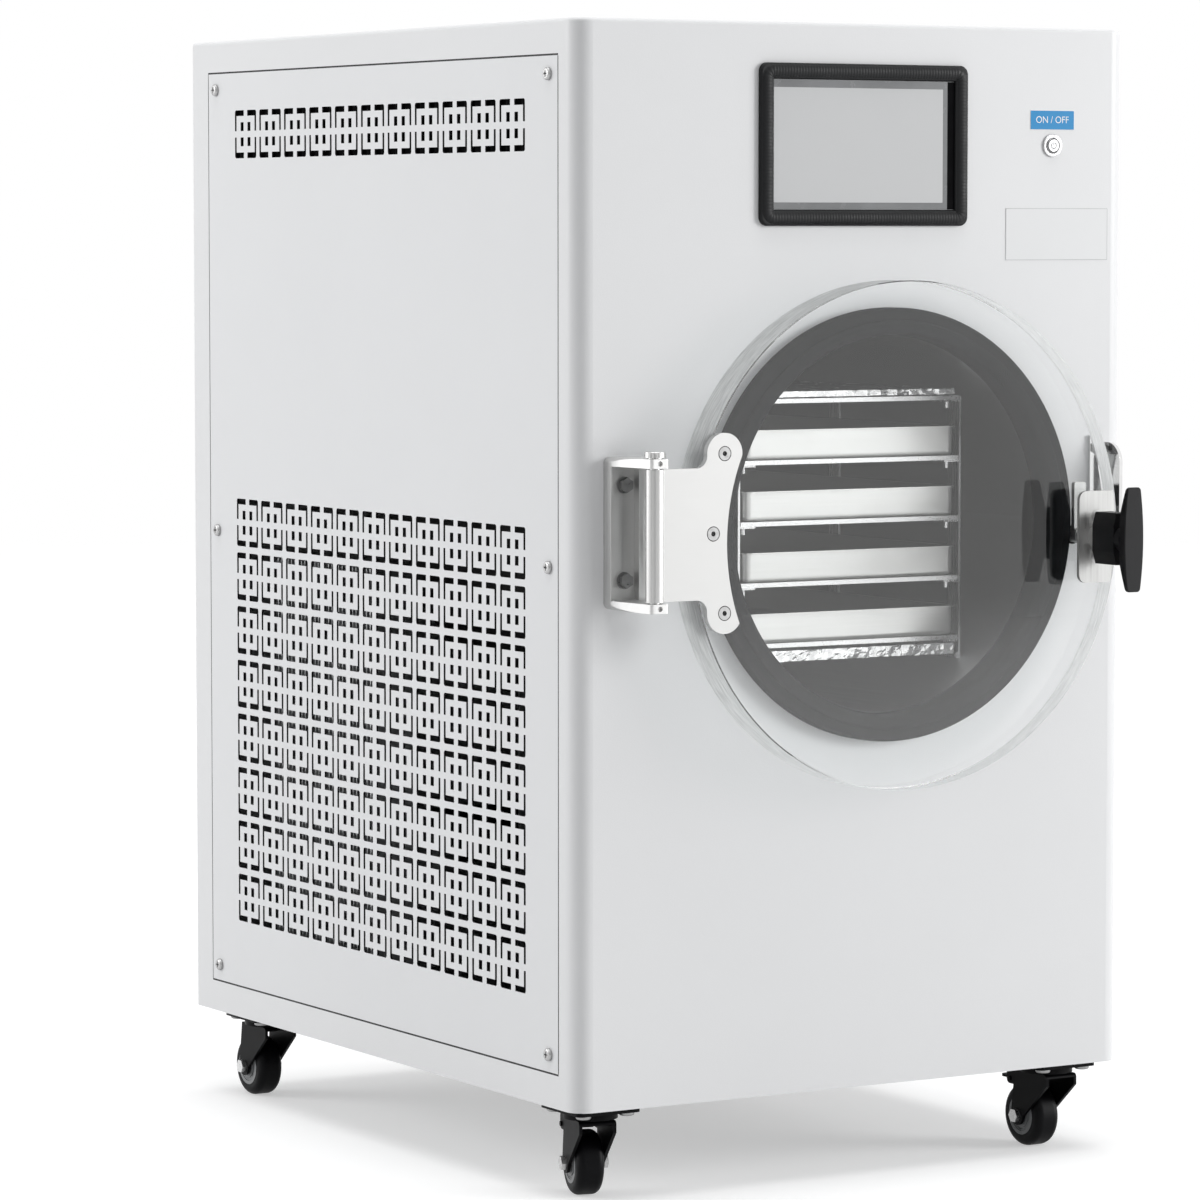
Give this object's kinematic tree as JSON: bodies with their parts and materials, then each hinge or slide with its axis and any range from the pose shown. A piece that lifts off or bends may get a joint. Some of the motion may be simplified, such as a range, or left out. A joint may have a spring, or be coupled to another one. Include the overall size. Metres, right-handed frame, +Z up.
{
  "type": "freeze dryer",
  "caption": "Freeze dryer cabinet on swivel casters with a round clear door, a heated tray rack, a touch screen and a punched side grille.",
  "frame": {"origin": "on the floor, under the middle of the overall width and depth", "axes": "+X right, +Y from the front with the door to the rear panel, +Z up"},
  "size_m": [0.513, 0.7966, 0.896],
  "materials": {
    "white_paint": "satin white powder coat",
    "galvanised": "grey coated steel",
    "screw_steel": "bright plated steel",
    "chamber_steel": "brushed stainless steel",
    "copper": "bare copper pipe",
    "foam": "closed-cell black foam",
    "silicone": "dark grey silicone",
    "clear_acrylic": "polished clear acrylic",
    "polished_steel": "satin polished stainless steel",
    "keeper_chrome": "bright chrome",
    "black_handle": "matte black moulding",
    "rack_steel": "stainless steel strip",
    "shelf_aluminium": "mill aluminium",
    "foil": "crinkled aluminium foil",
    "tray_steel": "pressed stainless steel",
    "black_trim": "textured black trim",
    "screen_glass": "grey display behind cover glass",
    "button_ring": "bright nickel",
    "label": "printed film",
    "black_enamel": "gloss black enamel",
    "fin_aluminium": "bare aluminium fins",
    "black_plastic": "black moulding",
    "brass_valve": "nickel-free brass",
    "lever_red": "red dipped lever",
    "caster_black": "black coated pressed steel",
    "tyre_black": "black polyurethane",
    "hub_grey": "grey nylon"
  },
  "bodies": {
    "cabinet": {"cabinet_shell": "white_paint", "rear_panel": "white_paint", "left_side_panel": "white_paint", "right_side_panel": "white_paint", "base_pan": "galvanised", "fan_cowl": "galvanised", "control_box": "galvanised", "panel_screws": "screw_steel", "mounting_bolts": "screw_steel", "vacuum_chamber": "chamber_steel", "vacuum_port": "chamber_steel", "evaporator_coil": "copper", "chamber_insulation": "foam", "door_gasket": "silicone", "hinge_bracket": "polished_steel", "hinge_pin": "polished_steel", "latch_keeper": "keeper_chrome", "rack_frame": "rack_steel", "heater_shelves": "shelf_aluminium", "insulation_mats": "foil", "tray_1": "tray_steel", "tray_2": "tray_steel", "tray_3": "tray_steel", "tray_4": "tray_steel", "screen_bezel": "black_trim", "touch_screen": "screen_glass", "power_button_housing": "button_ring", "front_labels": "label", "compressor": "black_enamel", "condenser_coil": "fin_aluminium", "power_inlet": "black_plastic", "drain_valve": "brass_valve", "caster_plates": "caster_black"},
    "door": {"door_disc": "clear_acrylic", "hinge_leaf": "polished_steel", "door_screws": "screw_steel", "latch_plate": "polished_steel"},
    "latch": {"latch_handle": "black_handle", "latch_pawl": "polished_steel"},
    "button": {"power_button_cap": "button_ring"},
    "fan": {"fan_rotor": "black_plastic"},
    "valve_lever": {"drain_lever": "lever_red"},
    "swivel_front_left": {"caster_fork_front_left": "caster_black", "caster_axle_front_left": "screw_steel"},
    "wheel_front_left": {"caster_tyre_front_left": "tyre_black", "caster_hub_front_left": "hub_grey"},
    "swivel_front_right": {"caster_fork_front_right": "caster_black", "caster_axle_front_right": "screw_steel"},
    "wheel_front_right": {"caster_tyre_front_right": "tyre_black", "caster_hub_front_right": "hub_grey"},
    "swivel_rear_left": {"caster_fork_rear_left": "caster_black", "caster_axle_rear_left": "screw_steel"},
    "wheel_rear_left": {"caster_tyre_rear_left": "tyre_black", "caster_hub_rear_left": "hub_grey"},
    "swivel_rear_right": {"caster_fork_rear_right": "caster_black", "caster_axle_rear_right": "screw_steel"},
    "wheel_rear_right": {"caster_tyre_rear_right": "tyre_black", "caster_hub_rear_right": "hub_grey"},
    "brake_front_left": {"brake_pedal_front_left": "caster_black"},
    "brake_front_right": {"brake_pedal_front_right": "caster_black"}
  },
  "joints": [
    {"name": "door_hinge", "type": "hinge", "parent": "cabinet", "child": "door", "pos_m": [-0.216, -0.35175, 0.511], "axis": [0, 0, -1], "range_deg": [0, 120]},
    {"name": "latch_turn", "type": "hinge", "parent": "door", "child": "latch", "pos_m": [0.191, -0.35675, 0.498], "axis": [0, 1, 0], "range_deg": [0, 90]},
    {"name": "power_button_press", "type": "slide", "parent": "cabinet", "child": "button", "axis": [0, 1, 0], "range_m": [0, 0.0015], "stiffness_N_per_m": 400},
    {"name": "fan_spin", "type": "hinge", "parent": "cabinet", "child": "fan", "pos_m": [-0.198, 0.12525, 0.207], "axis": [1, 0, 0], "continuous": true},
    {"name": "drain_lever_turn", "type": "hinge", "parent": "cabinet", "child": "valve_lever", "pos_m": [0.017, 0.36125, 0.373], "axis": [0, 0, 1], "range_deg": [0, 90]},
    {"name": "swivel_turn_front_left", "type": "hinge", "parent": "cabinet", "child": "swivel_front_left", "pos_m": [-0.222, -0.26775, 0.0627], "axis": [0, 0, 1], "continuous": true},
    {"name": "wheel_roll_front_left", "type": "hinge", "parent": "swivel_front_left", "child": "wheel_front_left", "pos_m": [-0.21682, -0.24843, 0.025], "axis": [0.9659, -0.2588, 0], "continuous": true},
    {"name": "brake_press_front_left", "type": "hinge", "parent": "swivel_front_left", "child": "brake_front_left", "pos_m": [-0.21424, -0.23877, 0.0537], "axis": [-0.9659, 0.2588, 0], "range_deg": [0, 20]},
    {"name": "swivel_turn_front_right", "type": "hinge", "parent": "cabinet", "child": "swivel_front_right", "pos_m": [0.204, -0.26775, 0.0627], "axis": [0, 0, 1], "continuous": true},
    {"name": "wheel_roll_front_right", "type": "hinge", "parent": "swivel_front_right", "child": "wheel_front_right", "pos_m": [0.204, -0.24775, 0.025], "axis": [1, 0, 0], "continuous": true},
    {"name": "brake_press_front_right", "type": "hinge", "parent": "swivel_front_right", "child": "brake_front_right", "pos_m": [0.204, -0.23775, 0.0537], "axis": [-1, 0, 0], "range_deg": [0, 20]},
    {"name": "swivel_turn_rear_left", "type": "hinge", "parent": "cabinet", "child": "swivel_rear_left", "pos_m": [-0.222, 0.27025, 0.0627], "axis": [0, 0, 1], "continuous": true},
    {"name": "wheel_roll_rear_left", "type": "hinge", "parent": "swivel_rear_left", "child": "wheel_rear_left", "pos_m": [-0.222, 0.29025, 0.025], "axis": [1, 0, 0], "continuous": true},
    {"name": "swivel_turn_rear_right", "type": "hinge", "parent": "cabinet", "child": "swivel_rear_right", "pos_m": [0.204, 0.27025, 0.0627], "axis": [0, 0, 1], "continuous": true},
    {"name": "wheel_roll_rear_right", "type": "hinge", "parent": "swivel_rear_right", "child": "wheel_rear_right", "pos_m": [0.204, 0.29025, 0.025], "axis": [1, 0, 0], "continuous": true}
  ]
}
